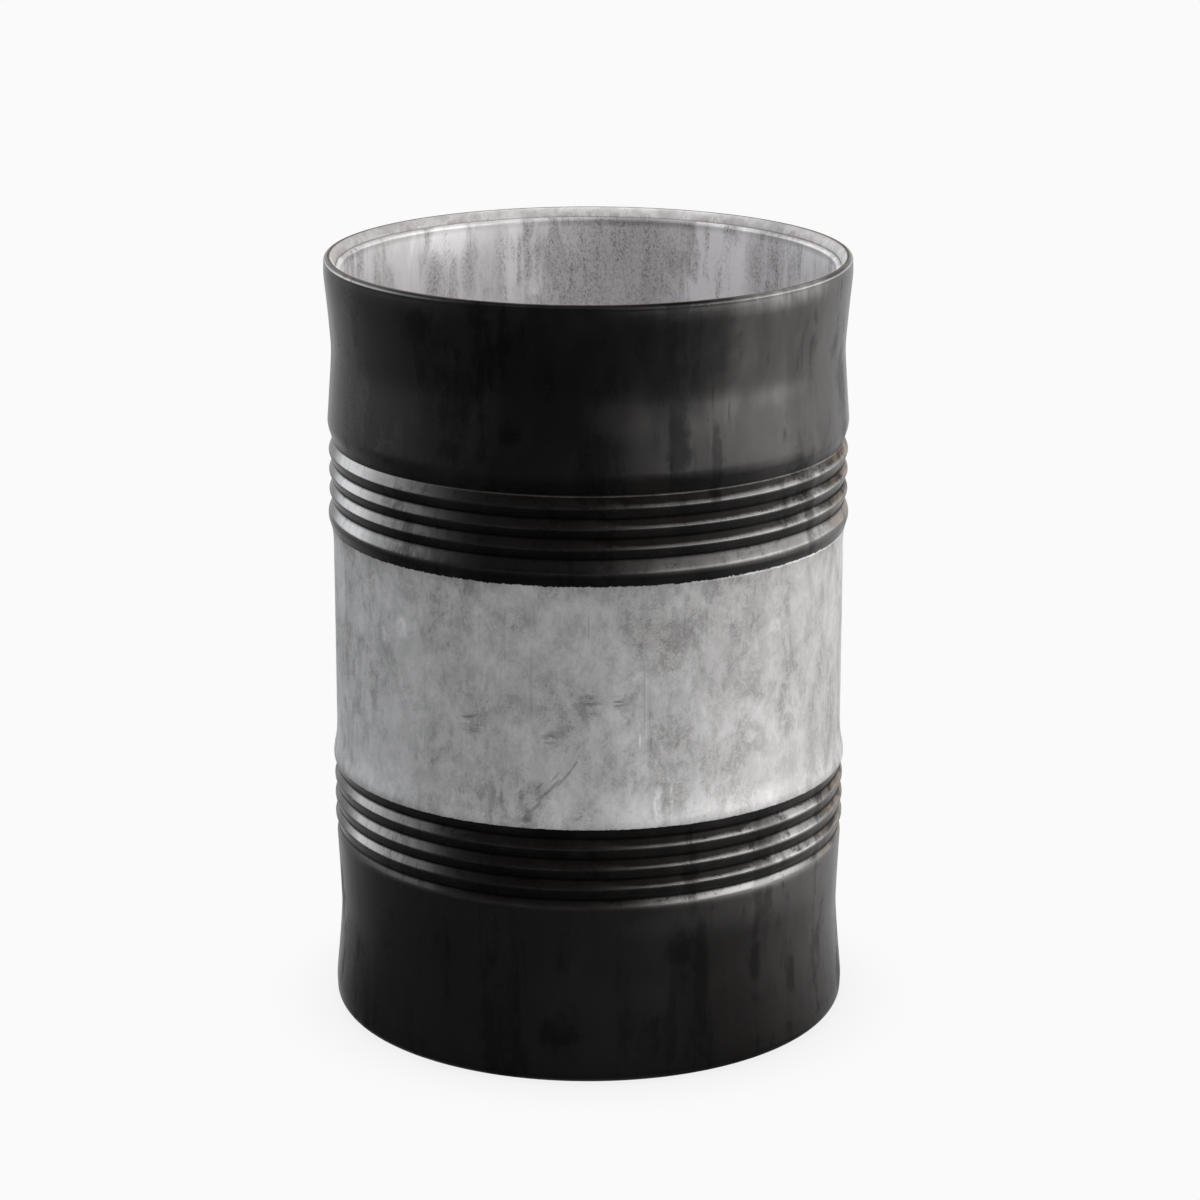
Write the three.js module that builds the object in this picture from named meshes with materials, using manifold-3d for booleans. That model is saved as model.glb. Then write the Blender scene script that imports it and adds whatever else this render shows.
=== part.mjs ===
// Open-topped, double-walled steel oil drum, in millimetres, +Z up.
// The origin is the centre of the standing ring, on the floor.
//
// A ribbed outer shell carries a rolled rim bead at its mouth and a rolled-in
// foot. A plain liner hangs inside it, with a bearer ring under its floor. Each
// wall is a tube closed by one upright weld: the shell's at +Y, the liner's at -Y.
//
// Every section is a list of [radius, height] points, turned about Z.
import * as THREE from "three";
import { mergeVertices } from "three/addons/utils/BufferGeometryUtils.js";
import Module from "manifold-3d";

// ---- driving dimensions -------------------------------------------------
const HEIGHT = 880; // floor to the crest of the rim bead
const SHEET = 1.2; // steel sheet of both walls and both heads
const SEGMENTS = 48; // facets round the drum, the same for every ring
const FIT = 0.3; // clearance between neighbouring pieces

const RIM_R = 296.5; // outside radius at the mouth
const BEAD_R = 7.5; // radius of the rolled bead's section
const BEAD_CENTRE = [RIM_R - BEAD_R, HEIGHT - BEAD_R];
const WIRE_R = 5.9; // radius of the wire inside the bead
const BODY_R = 290.1; // plain cylinder between the two rib groups
const GROOVE_R = 289.9; // bottom of the grooves between ribs
const RIB_R = 294.3; // crest of an upper rib
const LOW_RIB_R = 293.9; // crest of a lower rib
const FOOT_R = 295; // outside radius where the foot's corner ends
const FOOT_CORNER = 16; // radius of the rolled foot corner
const FOOT_LIP_R = 268; // inner edge of the flat standing ring

const LINER_R = 277; // inside radius of the liner
const LINER_BOTTOM = 8; // lower edge of the liner wall
const SHOULDER = 4.5; // radius of the liner's flared top edge
const SHOULDER_CENTRE = [LINER_R + SHOULDER, HEIGHT - 15.2];
const FLOOR_TOP = 31.2; // top face of the liner floor
const FLOOR_UNDER = FLOOR_TOP - SHEET;
const SKIRT_R = LINER_R - 0.4; // outside radius of the liner floor's skirt

const HEAD_UNDER = 12; // underside of the recessed bottom head
const HEAD_TOP = HEAD_UNDER + SHEET;
const FLANGE_UNDER = 2 * SHEET; // underside of the bottom head's flange
const FLANGE_R = LINER_R; // outer edge of that flange

const SEAM_WIDTH = 3; // width of an upright weld
const SEAM_CUT_DEPTH = 80; // radial depth of the slab that cuts out a seam
const SEAM_CUT_INSET = 15; // slab's centre, inwards from RIM_R
const SEAM_CUT_SPARE = 40; // slab's extra height over the drum's

// ---- geometry helpers ---------------------------------------------------
const wasm = await Module();
wasm.setup();

/** Strips to positions with shared vertices and no collapsed faces. */
function clean(geometry) {
  geometry.deleteAttribute("normal");
  geometry.deleteAttribute("uv");
  const merged = mergeVertices(geometry, 1e-4);
  const corners = merged.index.array;
  const kept = [];
  for (let i = 0; i < corners.length; i += 3) {
    const [a, b, c] = corners.slice(i, i + 3);
    if (a !== b && b !== c && a !== c) kept.push(a, b, c);
  }
  merged.setIndex(kept);
  return merged;
}

/** A Manifold solid from clean geometry. */
function toSolid(geometry) {
  return new wasm.Manifold(
    new wasm.Mesh({
      numProp: 3,
      vertProperties: new Float32Array(geometry.attributes.position.array),
      triVerts: new Uint32Array(geometry.index.array),
    }),
  );
}

function fromSolid(solid) {
  const mesh = solid.getMesh();
  const geometry = new THREE.BufferGeometry();
  geometry.setAttribute("position", new THREE.BufferAttribute(mesh.vertProperties, 3));
  geometry.setIndex(new THREE.BufferAttribute(mesh.triVerts, 1));
  return geometry;
}

/** Area of a closed section, positive when it runs anticlockwise. */
function signedArea(section) {
  let doubled = 0;
  section.forEach(([r, z], i) => {
    const [nextR, nextZ] = section[(i + 1) % section.length];
    doubled += r * nextZ - nextR * z;
  });
  return doubled / 2;
}

/** The section as an open profile: from axis to axis, or back to its start. */
function latheProfile(section) {
  const count = section.length;
  if (!section.some(([r]) => r === 0)) return [...section, section[0]];
  const start = section.findIndex(
    ([r], i) => r === 0 && section[(i + 1) % count][0] > 0,
  );
  return [...section.slice(start), ...section.slice(0, start)];
}

/** A section turned about Z into a closed body. */
function turned(section) {
  // Anticlockwise sections give outward-facing triangles.
  const ordered = signedArea(section) > 0 ? section : [...section].reverse();
  const points = latheProfile(ordered).map(([r, z]) => new THREE.Vector2(r, z));
  const geometry = new THREE.LatheGeometry(points, SEGMENTS);
  geometry.rotateX(Math.PI / 2); // the lathe turns about Y
  return clean(geometry);
}

/** Points on an arc of the section, both ends included, angles in degrees. */
function arc([centreR, centreZ], radius, from, to, steps) {
  return Array.from({ length: steps + 1 }, (_, i) => {
    const angle = THREE.MathUtils.degToRad(from + ((to - from) * i) / steps);
    return [centreR + radius * Math.cos(angle), centreZ + radius * Math.sin(angle)];
  });
}

/** Unit normal to the left of the line between two points. */
function leftNormal([r0, z0], [r1, z1]) {
  const length = Math.hypot(r1 - r0, z1 - z0);
  return [(z0 - z1) / length, (r1 - r0) / length];
}

/** The same path moved to its left, with mitred corners. */
function offsetPath(path, distance) {
  const last = path.length - 1;
  return path.map((point, i) => {
    // An end point has one neighbour, so its only edge serves twice.
    const after = leftNormal(path[Math.min(i, last - 1)], path[Math.min(i + 1, last)]);
    const before = i === 0 ? after : leftNormal(path[i - 1], point);
    const sum = [before[0] + after[0], before[1] + after[1]];
    const scale = distance / (sum[0] * before[0] + sum[1] * before[1]);
    return [point[0] + sum[0] * scale, point[1] + sum[1] * scale];
  });
}

/** A slab across the wall, on the +Y (side 1) or -Y (side -1) of the drum. */
function seamSlab(width, side) {
  const box = new THREE.BoxGeometry(width, SEAM_CUT_DEPTH, HEIGHT + SEAM_CUT_SPARE);
  box.translate(0, side * (RIM_R - SEAM_CUT_INSET), HEIGHT / 2);
  return toSolid(clean(box));
}

/** Splits a rolled wall into the sheet and the weld that closes it. */
function seamed(wall, side) {
  const whole = toSolid(wall);
  return {
    sheet: fromSolid(whole.subtract(seamSlab(SEAM_WIDTH + 2 * FIT, side))),
    weld: fromSolid(whole.intersect(seamSlab(SEAM_WIDTH, side))),
  };
}

// ---- materials ----------------------------------------------------------
const finish = (settings) => new THREE.MeshStandardMaterial(settings);
const blackPaint = () => finish({ color: 0x1b1a1a, roughness: 0.42, metalness: 0.35 });
const bareSteel = () => finish({ color: 0xb4b3b5, roughness: 0.5, metalness: 0.75 });
const weldSteel = () => finish({ color: 0x77736f, roughness: 0.62, metalness: 0.8 });
const compound = () => finish({ color: 0x2a2826, roughness: 0.85, metalness: 0 });

// ---- outer wall ---------------------------------------------------------
// Outer face from the flat standing ring up to the end of the rim bead.
const OUTER_FACE = [
  [FOOT_LIP_R, 0],
  ...arc([FOOT_R - FOOT_CORNER, FOOT_CORNER], FOOT_CORNER, -90, 0, 4),
  // shallow waist above the foot
  [295.6, 28], [294.2, 44], [291.9, 68], [289.5, 98], [288.3, 119],
  [289.3, 146], [291.0, 184], [292.2, 207],
  // lower rib group
  [GROOVE_R, 216.5], [LOW_RIB_R, 229.5],
  [GROOVE_R, 240], [LOW_RIB_R, 252],
  [GROOVE_R, 263.5], [LOW_RIB_R, 275.5],
  [GROOVE_R, 287], [294.5, 300], [294.2, 306], [291.1, 321],
  // plain body
  [BODY_R, 336], [BODY_R, 558],
  // upper rib group
  [291.4, 571], [295.5, 584], [295.2, 589.5],
  [GROOVE_R, 602.5], [RIB_R, 614],
  [GROOVE_R, 625.5], [RIB_R, 636.5],
  [GROOVE_R, 647.5], [RIB_R, 659.5],
  [GROOVE_R - 0.4, 672.5], [294.1, 688], [294.7, 694],
  // shallow waist below the rim
  [293.1, 716], [290.2, 756], [289.1, 777],
  [290.3, 795], [293.5, 830], [295.9, 855],
  ...arc(BEAD_CENTRE, BEAD_R, 0, 240, 8),
];

/** Outer wall, its sheet lying inside the outer face. */
function shellWall() {
  return turned([...OUTER_FACE, ...offsetPath(OUTER_FACE, SHEET).reverse()]);
}

/** Round wire that the rim bead is rolled over. */
function rimWire() {
  return turned(arc(BEAD_CENTRE, WIRE_R, 0, 330, 11));
}

// ---- outer bottom -------------------------------------------------------
/** Recessed disc with a sloping edge down to a flat flange. */
function bottomHead() {
  const discR = 251; // foot of the slope is further out and lower
  const slopeR = 261.5;
  const topShift = 0.7; // the top face's bends lie this much further out
  return turned([
    [0, HEAD_UNDER],
    [discR, HEAD_UNDER],
    [slopeR, FLANGE_UNDER],
    [FLANGE_R, FLANGE_UNDER],
    [FLANGE_R, FLANGE_UNDER + SHEET],
    [slopeR + topShift, FLANGE_UNDER + SHEET],
    [discR + topShift, HEAD_TOP],
    [0, HEAD_TOP],
  ]);
}

/** Rectangular section between two radii and two heights. */
function flatRing(innerR, outerR, low, high) {
  return turned([[innerR, low], [outerR, low], [outerR, high], [innerR, high]]);
}

/** Sealing compound between the head's flange and the standing ring. */
function bottomSeamCompound() {
  const edgeGap = 0.5;
  return flatRing(
    FOOT_LIP_R + edgeGap,
    FLANGE_R - edgeGap,
    SHEET + FIT,
    FLANGE_UNDER - FIT,
  );
}

/** Fillet that fastens the flange's edge inside the foot's corner. */
function bottomHeadWeld() {
  const innerR = FLANGE_R + 0.4;
  return turned([[innerR, 1.6], [281.2, 2.1], [innerR, 5.2]]);
}

// ---- liner --------------------------------------------------------------
/** Liner wall: up the outer face, round the outward flare, down the inner face. */
function linerWall() {
  return turned([
    [LINER_R + SHEET, LINER_BOTTOM],
    ...arc(SHOULDER_CENTRE, SHOULDER - SHEET, 180, 90, 3),
    ...arc(SHOULDER_CENTRE, SHOULDER, 90, 180, 3),
    [LINER_R, LINER_BOTTOM],
  ]);
}

/** Fillet under the flared edge that ties the liner to the rim bead. */
function linerRimWeld() {
  return turned([
    [282.2, HEIGHT - 12.2],
    [284.0, HEIGHT - 13.6],
    [281.0, HEIGHT - 13.7],
  ]);
}

/** Floor of the liner: a disc with a skirt turned down inside the wall. */
function linerFloor() {
  const bend = 2.2; // reach of the outside bend, both ways
  const bendMid = [0.6, 0.7]; // its middle point, inwards and down
  const innerBend = 2.4; // reach of the inside bend from the outer faces
  return turned([
    [0, FLOOR_TOP],
    [SKIRT_R - bend, FLOOR_TOP],
    [SKIRT_R - bendMid[0], FLOOR_TOP - bendMid[1]],
    [SKIRT_R, FLOOR_TOP - bend],
    [SKIRT_R, HEAD_UNDER],
    [SKIRT_R - SHEET, HEAD_UNDER],
    [SKIRT_R - SHEET, FLOOR_TOP - innerBend],
    [SKIRT_R - innerBend, FLOOR_UNDER],
    [0, FLOOR_UNDER],
  ]);
}

/** Fillet just below the skirt's lower edge. */
function linerFloorWeld() {
  const top = HEAD_UNDER - 0.4;
  const leg = 3;
  return turned([[SKIRT_R, top], [SKIRT_R - leg, top], [SKIRT_R, top - leg]]);
}

/** Flat bar hoop on the bottom head that carries the liner's floor. */
function linerBearerRing() {
  return flatRing(238, 241, HEAD_TOP + FIT, FLOOR_UNDER - FIT);
}

/** Channel hoop between the walls, open inwards, its web behind three grooves. */
function spacerHoop(low, high) {
  const sheet = 1.5;
  const webGap = 0.5; // web to the inner face of the grooves
  const web = GROOVE_R - SHEET - webGap;
  const toe = LINER_R + SHEET + FIT;
  return turned([
    [web, low],
    [web, high],
    [toe, high],
    [toe, high - sheet],
    [web - sheet, high - sheet],
    [web - sheet, low + sheet],
    [toe, low + sheet],
    [toe, low],
  ]);
}

// ---- assembly -----------------------------------------------------------
const drum = new THREE.Group();

/** A group of the drum from rows of [name, geometry, material]. */
function addGroup(pieces) {
  const group = new THREE.Group();
  for (const [name, geometry, material] of pieces) {
    geometry.computeVertexNormals();
    const mesh = new THREE.Mesh(geometry, material);
    mesh.name = name;
    group.add(mesh);
  }
  drum.add(group);
}

const shell = seamed(shellWall(), 1);
addGroup([
  ["outer_shell", shell.sheet, blackPaint()],
  ["shell_seam_weld", shell.weld, blackPaint()],
  ["rim_wire", rimWire(), weldSteel()],
]);

addGroup([
  ["bottom_head", bottomHead(), blackPaint()],
  ["bottom_seam_compound", bottomSeamCompound(), compound()],
  ["bottom_head_weld", bottomHeadWeld(), weldSteel()],
]);

const lining = seamed(linerWall(), -1);
addGroup([
  ["inner_liner", lining.sheet, bareSteel()],
  ["liner_seam_weld", lining.weld, weldSteel()],
  ["liner_rim_weld", linerRimWeld(), weldSteel()],
  ["liner_floor", linerFloor(), bareSteel()],
  ["liner_floor_weld", linerFloorWeld(), weldSteel()],
  ["liner_bearer_ring", linerBearerRing(), weldSteel()],
  ["upper_spacer_hoop", spacerHoop(596, 654), weldSteel()],
  ["lower_spacer_hoop", spacerHoop(234, 293), weldSteel()],
]);

export default drum;
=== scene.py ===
"""An open-topped round steel container with a ribbed, painted outer shell and a bare steel liner.

It stands on z = 0 with its axis on Z. The camera looks from -Y, the front; the shell's seam is
at the back and the liner's at the front. Sections are lists of (radius, height) in mm. Azimuth
is 0 at -Y and grows towards +X.
"""
import math
from functools import cached_property
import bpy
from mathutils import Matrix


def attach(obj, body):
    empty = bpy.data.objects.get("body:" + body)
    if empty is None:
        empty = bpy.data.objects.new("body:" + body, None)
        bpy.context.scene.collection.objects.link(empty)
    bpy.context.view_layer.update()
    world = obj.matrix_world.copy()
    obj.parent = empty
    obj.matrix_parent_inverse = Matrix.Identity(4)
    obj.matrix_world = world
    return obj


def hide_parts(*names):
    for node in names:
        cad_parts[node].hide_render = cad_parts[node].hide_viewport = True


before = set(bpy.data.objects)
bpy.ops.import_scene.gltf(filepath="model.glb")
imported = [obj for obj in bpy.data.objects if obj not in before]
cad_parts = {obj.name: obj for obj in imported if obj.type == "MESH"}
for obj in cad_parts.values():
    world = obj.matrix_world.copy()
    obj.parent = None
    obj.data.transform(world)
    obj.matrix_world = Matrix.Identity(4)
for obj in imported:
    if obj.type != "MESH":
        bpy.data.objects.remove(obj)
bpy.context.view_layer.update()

from types import SimpleNamespace

import bpy
import numpy as np
from mathutils import Vector, noise

MM = 0.001
TAU = 2 * math.pi

# ---- driving dimensions in mm -------------------------------------------
SHEET = 1.2  # thickness of the shell, bottom, liner and liner floor
WALL_R = 290.0  # nominal outer radius of the shell
LINER_R = 277.0  # inner radius of the liner
HALF_GAP = 1.5  # half the width of the gap each seam weld fills
SEAM_HALF = HALF_GAP / WALL_R  # the same as angles
LINER_HALF = HALF_GAP / LINER_R
WELD_FILL = 0.93  # part of the gap a weld takes up
SHARP_ANGLE = 35.0  # degrees above which an edge is shaded sharp

# =====================================================================
# Sections
# =====================================================================


def clamp(value, low=0.0, high=1.0):
    return max(low, min(high, value))


def arc(r, z, radius, start, end, steps):
    """Points on an arc about (r, z), both ends included, angles in degrees."""
    points = []
    for i in range(steps + 1):
        angle = math.radians(start + (end - start) * i / steps)
        points.append((r + radius * math.cos(angle), z + radius * math.sin(angle)))
    return points


def soften(points, steps=5):
    """Rounds each vertex (r, z, tangent length in mm), as far as its neighbours leave room."""
    out = [points[0][:2]]
    for before, vertex, after in zip(points, points[1:], points[2:]):
        p = np.array(vertex[:2], float)
        a = np.array(before[:2], float)
        b = np.array(after[:2], float)
        to_a, to_b = np.linalg.norm(p - a), np.linalg.norm(b - p)
        wanted = vertex[2] if len(vertex) > 2 else 0
        tangent = min(wanted, 0.48 * to_a, 0.48 * to_b)
        if tangent <= 0:
            out.append(tuple(p))
            continue
        start, end = p + (a - p) / to_a * tangent, p + (b - p) / to_b * tangent
        for k in range(steps + 1):
            s = k / steps
            out.append(tuple((1 - s) ** 2 * start + 2 * s * (1 - s) * p + s * s * end))
    out.append(points[-1][:2])
    clean = [out[0]]
    for point in out[1:]:
        if math.dist(point, clean[-1]) > 1e-4:
            clean.append(point)
    return clean


def densify(path, longest):
    """Splits segments longer than `longest` mm, a number or a function of the height."""
    out = [path[0]]
    for a, b in zip(path, path[1:]):
        limit = longest((a[1] + b[1]) / 2) if callable(longest) else longest
        parts = max(1, math.ceil(math.dist(a, b) / limit))
        for i in range(1, parts + 1):
            s = i / parts
            out.append((a[0] + (b[0] - a[0]) * s, a[1] + (b[1] - a[1]) * s))
    return out


def left_normal(a, b):
    dr, dz = b[0] - a[0], b[1] - a[1]
    length = math.hypot(dr, dz)
    return (-dz / length, dr / length)


def offset(path, distance):
    """The path moved to its left by distance in mm, with mitred corners."""
    normals = [left_normal(a, b) for a, b in zip(path, path[1:])]
    out = []
    for point, n0, n1 in zip(path, normals[:1] + normals, normals + normals[-1:]):
        mitre = (n0[0] + n1[0], n0[1] + n1[1])
        length = math.hypot(*mitre)
        reach = distance / ((mitre[0] * n0[0] + mitre[1] * n0[1]) / length)
        out.append((point[0] + mitre[0] / length * reach, point[1] + mitre[1] / length * reach))
    return out


# Tangent lengths of the wall's corners: in a groove, on a crest, as long as fits.
TIGHT, ROUND, FIT = 0.55, 1.7, math.inf

# Outer face of the shell above the foot: radius, height, tangent length.
WALL = [
    (295.6, 28, 9), (294.2, 44, FIT), (291.9, 68, FIT), (289.5, 98, FIT), (288.3, 119, FIT),
    (289.3, 146, FIT), (291.0, 184, FIT), (292.2, 207, 3.0),
    # lower ribs
    (289.9, 216.5, TIGHT), (293.9, 229.5, ROUND), (289.9, 240, TIGHT), (293.9, 252, ROUND),
    (289.9, 263.5, TIGHT), (293.9, 275.5, ROUND), (289.9, 287, TIGHT), (294.5, 300, 2.2),
    (294.2, 306, 2.6),
    # plain band
    (291.1, 321, FIT), (290.1, 336, FIT), (290.1, 558, FIT), (291.4, 571, FIT),
    # upper ribs
    (295.5, 584, 2.2), (295.2, 589.5, 2.2), (289.9, 602.5, TIGHT), (294.3, 614, ROUND),
    (289.9, 625.5, TIGHT), (294.3, 636.5, ROUND), (289.9, 647.5, TIGHT), (294.3, 659.5, ROUND),
    (289.5, 672.5, TIGHT), (294.1, 688, 3.0), (294.7, 694, 3.0),
    # up to the rim
    (293.1, 716, FIT), (290.2, 756, FIT), (289.1, 777, FIT), (290.3, 795, FIT),
    (293.4, 830, FIT), (295.5, 850, FIT), (296.5, 861.5, FIT), (296.45, 869, FIT),
    (296.15, 874, 2.0),
]
FOOT_EDGE = (268, 0)  # inner edge of the shell's foot
FOOT = (279, 16, 16)  # centre and radius of the bend at the foot
BEAD = (291.7, 875.5, 4.45)  # centre and radius of the rim bead's outer corner

# The bead's short flat crest and its long slope down to the liner.
BEAD_SLOPE = [
    (291.9, 879.97), (289.2, 880.0, 1.2), (286.9, 878.4, 1.4), (284.6, 874.9, FIT),
    (282.95, 871.4, FIT), (282.5, 869.6, 0.7), (283.4, 868.2, 1.0), (285.2, 866.4),
]


def wall_step(z):
    """The longest segment on the outer face, finer on the ribs and at the rim."""
    if z > 862:
        return 1.2
    if 205 < z < 310 or 578 < z < 692:
        return 2.1
    return 7.5


outer_path = soften([FOOT_EDGE] + arc(*FOOT, -90, 0, 14) + WALL + arc(*BEAD, 2, 84, 14))
outer_path = densify(outer_path + soften(BEAD_SLOPE), wall_step)

# The inner face is offset from a coarser outline of the same shape.
coarse_path = (
    [FOOT_EDGE] + arc(*FOOT, -90, 0, 6) + [corner[:2] for corner in WALL[:-2]]
    + [(296.4, 871), (296.1, 875.2)] + arc(*BEAD, 20, 84, 4)
    + [(289.3, 880.0), (286.7, 878.3), (284.5, 874.8), (282.9, 871.2), (283.1, 868.6),
       (285.2, 866.4)]
)
inner_path = densify(offset(coarse_path, SHEET), 40)

# ---- what the paint needs to know about the ribs ------------------------
GROOVES = [z for r, z, tangent in WALL if tangent == TIGHT]
CRESTS = sorted([z for r, z, tangent in WALL if tangent == ROUND] + [300, 587])
RIB_REACH = 30  # a groove further than this from a crest isn't part of its rib


def ribs():
    """(crest, groove below, groove above); a missing groove is put where no height matches."""
    for crest in CRESTS:
        below = [z for z in GROOVES if 0 < crest - z < RIB_REACH]
        above = [z for z in GROOVES if 0 < z - crest < RIB_REACH]
        yield crest, max(below, default=math.inf), min(above, default=-math.inf)


RIBS = list(ribs())


def rib_tags(z):
    """(dirt and painted shade on a slope, painted shade of a groove and of the face under a crest,
    crest) for a height on the outer face.
    """
    lowest, highest = GROOVES[0], GROOVES[-1]
    if 205 <= z < lowest:  # the slope under the lowest groove runs out into the wall
        t = (lowest - z) / 9.5
        return (
            np.interp(t, [0, 0.5, 1.0], [1, 0.5, 0.0]),
            np.interp(t, [0, 0.2, 0.3], [1, 0.3, 0]),
            np.interp(t, [0.5, 0.95, 1.3], [0, 1, 0]),
        )
    # above the highest groove, under the upper bulge: painted shade fading upwards
    if highest < z <= 690:
        return 0.0, np.interp((z - highest) / 16, [0, 0.25, 0.6], [0.55, 0.3, 0.0]), 0.0
    for crest, below, above in RIBS:
        if crest <= z <= above:
            t = (above - z) / (above - crest)
            line = 0.0 if above == highest else 1.0
            return (
                np.interp(t, [0, 0.2, 0.5, 0.70, 0.84], [1.0, 1.0, 0.85, 0.5, 0.0]),
                np.interp(t, [0, 0.1, 0.2], [line, 0.45 * line, 0.0]),
                np.interp(t, [0.8, 1.0], [0, 1]),
            )
        # the face under a crest: painted shade growing towards the groove below
        if below <= z < crest:
            t = (crest - z) / (crest - below)
            return (
                0.0,
                np.interp(t, [0.35, 0.75, 0.9, 1.0], [0.0, 0.35, 0.8, 1.0]),
                np.interp(t, [0, 0.15], [1, 0]),
            )
    return 0.0, 0.0, 0.0


def bead_tag(r, z):
    """0 below the rim bead and at its outside, rising to 1 at its inner edge."""
    if z <= 864:
        return 0.0
    if z < 870 and r < 290:
        return 1.0
    return np.interp(
        r, [282.4, 286.0, 289.5, 292.0, 294.5, 296.3], [1.0, 0.75, 0.5, 0.38, 0.2, 0.0]
    )


def wall_tags(outer, inner):
    """The attributes of a shell section: its outer face, then its inner face."""
    rows = [(*rib_tags(z), bead_tag(r, z)) for r, z in outer]
    # the inner face, in the gap behind the shell, takes 0.6 of the groove's painted shade; inside
    # the rim it counts as bare
    rows += [(0.0, 0.6, 0.0, 1.0 if z > 866 else 0.0) for r, z in inner]
    return dict(zip(("slope_dirt_and_shade", "groove", "crest", "bead"), zip(*rows)))


# =====================================================================
# Meshes
# =====================================================================


def counterclockwise(section):
    """The section's indices in counterclockwise order, so that faces look outwards."""
    area = 0.0
    for (r0, z0), (r1, z1) in zip(section, section[1:] + section[:1]):
        area += r0 * z1 - r1 * z0
    order = list(range(len(section)))
    return order if area > 0 else order[::-1]


def on_wall(r, azimuth, z):
    """The point in metres at a radius and height in mm."""
    return (r * MM * math.sin(azimuth), -r * MM * math.cos(azimuth), z * MM)


def build(name, verts, faces, material, attributes=None):
    mesh = bpy.data.meshes.new(name)
    mesh.from_pydata(verts, [], faces)
    mesh.polygons.foreach_set("use_smooth", [True] * len(mesh.polygons))
    mesh.update()
    for key, values in (attributes or {}).items():
        store(mesh, key, values)
    mesh.set_sharp_from_angle(angle=math.radians(SHARP_ANGLE))
    mesh.materials.append(material)
    obj = bpy.data.objects.new(name, mesh)
    bpy.context.scene.collection.objects.link(obj)
    return obj


def store(mesh, key, values):
    attribute = mesh.attributes.new(key, "FLOAT", "POINT")
    attribute.data.foreach_set("value", np.asarray(values, np.float32))


def turned(name, section, material, segs):
    """A closed section turned all the way about Z. Points with r = 0 are shared poles."""
    verts, rings = [], []
    for i in counterclockwise(section):
        r, z = section[i]
        if r == 0:
            rings.append([len(verts)] * segs)
            verts.append((0.0, 0.0, z * MM))
            continue
        rings.append(range(len(verts), len(verts) + segs))
        verts += [on_wall(r, TAU * (j + 0.5) / segs, z) for j in range(segs)]
    faces = []
    for a, b in zip(rings, rings[1:] + rings[:1]):
        if a[0] == a[1] and b[0] == b[1]:
            continue
        for j in range(segs):
            k = (j + 1) % segs
            if a[j] == a[k]:
                faces.append((a[j], b[k], b[j]))
            elif b[j] == b[k]:
                faces.append((a[j], a[k], b[j]))
            else:
                faces.append((a[j], a[k], b[k], b[j]))
    return build(name, verts, faces, material)


def swept(name, section, material, mid, half, segs, shift, tags=None):
    """A closed section swept from azimuth mid-half to mid+half, capped at both ends.

    shift(azimuth, z) moves each point outwards by so many mm.
    """
    count, columns = len(section), segs + 1
    order = counterclockwise(section)
    verts = []
    for i in order:
        r, z = section[i]
        for j in range(columns):
            azimuth = mid - half + 2 * half * j / segs
            verts.append(on_wall(r + shift(azimuth, z), azimuth, z))
    faces = []
    for i in range(count):
        a, b = i * columns, ((i + 1) % count) * columns
        faces += [(a + j, a + j + 1, b + j + 1, b + j) for j in range(segs)]
    faces.append(tuple(i * columns for i in range(count)))
    faces.append(tuple(i * columns + segs for i in reversed(range(count))))
    attributes = {
        key: np.repeat([values[i] for i in order], columns) for key, values in (tags or {}).items()
    }
    return build(name, verts, faces, material, attributes)


def wave(azimuth, z):
    """How far the shell stands off its true radius in mm: nothing at the rim or the foot."""
    x, y = math.cos(azimuth), math.sin(azimuth)
    broad = noise.noise(Vector((x * 1.7, y * 1.7, z * 0.004))) * 0.30
    close = noise.noise(Vector((x * 5.2 + 7.1, y * 5.2, z * 0.012))) * 0.11
    fade = clamp((z - 20) / 60) * clamp((858 - z) / 60)
    ribbed = 0.35 if (205 < z < 305 or 580 < z < 690) else 1.0
    return (broad + close) * fade * ribbed


def liner_wave(azimuth, z):
    """The same for the liner."""
    x, y = math.cos(azimuth), math.sin(azimuth)
    height = noise.noise(Vector((x * 2.3 + 3.0, y * 2.3, z * 0.005))) * 0.22
    return clamp(height, -0.2, 0.2) * clamp((z - 40) / 60) * clamp((855 - z) / 40)


def seam_shift(azimuth, z):
    """The shell's seam weld: a rippled crown standing out by 0.35 mm."""
    x = clamp((azimuth - math.pi) / (SEAM_HALF * WELD_FILL), -1.0, 1.0)
    ripple = 0.75 + 0.25 * math.sin(z * 2.6 + 3.6 * x * x)
    return wave(azimuth, z) + 0.35 * math.sqrt(1 - x * x) * ripple


def liner_seam_shift(azimuth, z):
    """The liner's seam weld: a rippled crown standing in by 0.3 mm."""
    x = clamp(azimuth / (LINER_HALF * WELD_FILL), -1.0, 1.0)
    ripple = 0.75 + 0.25 * math.sin(z * 2.4)
    return liner_wave(azimuth, z) - 0.3 * math.sqrt(1 - x * x) * ripple


# =====================================================================
# Shader graphs
# =====================================================================


def operator(operation, swapped=False):
    def apply(self, other):
        operands = (other, self) if swapped else (self, other)
        return self.graph.math(operation, *operands)
    return apply


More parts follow.
